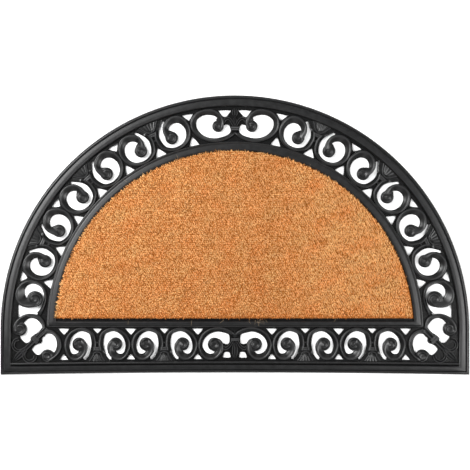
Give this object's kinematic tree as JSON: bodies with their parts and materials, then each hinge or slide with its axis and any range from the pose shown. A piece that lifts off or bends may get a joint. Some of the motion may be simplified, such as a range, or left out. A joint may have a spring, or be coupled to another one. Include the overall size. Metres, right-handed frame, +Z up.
{
  "type": "half-round doormat",
  "caption": "Half-round rubber doormat with an openwork scroll border, a stepped rim and a coir pile inlay.",
  "frame": {"origin": "centre of the mat's bounding box at floor level", "axes": "+X along the straight edge, +Y towards the round side, +Z up off the floor"},
  "size_m": [0.75, 0.447, 0.014],
  "materials": {
    "rubber": "satin black moulded rubber",
    "coir": "short orange-brown coir pile"
  },
  "bodies": {
    "root": {"rubber_mat": "rubber", "coir_inlay": "coir"}
  },
  "joints": []
}
